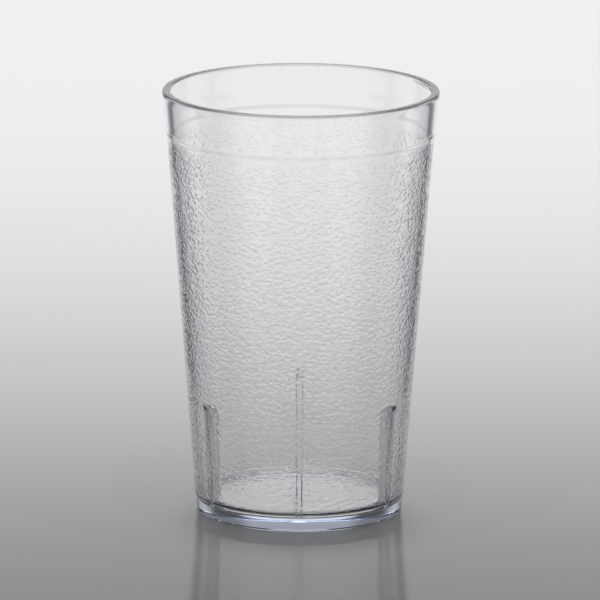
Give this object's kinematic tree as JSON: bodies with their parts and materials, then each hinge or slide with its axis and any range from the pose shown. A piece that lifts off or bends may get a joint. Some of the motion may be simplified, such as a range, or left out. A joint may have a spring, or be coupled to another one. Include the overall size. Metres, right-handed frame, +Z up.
{
  "type": "tumbler",
  "caption": "Clear plastic tumbler with a smooth rounded rim, a grained tapering wall, a thick flat base and stacking ribs inside.",
  "frame": {"origin": "centre of the foot, on the surface that the tumbler stands on", "axes": "+Z up along the axis to the mouth; +Y through the middle of a stacking rib"},
  "size_m": [0.084, 0.084, 0.1303],
  "materials": {
    "clear_plastic": "clear and glossy with a faint blue tint, fine leather-like grain on the outer wall below the lip band"
  },
  "bodies": {
    "root": {"tumbler": "clear_plastic"}
  },
  "joints": []
}
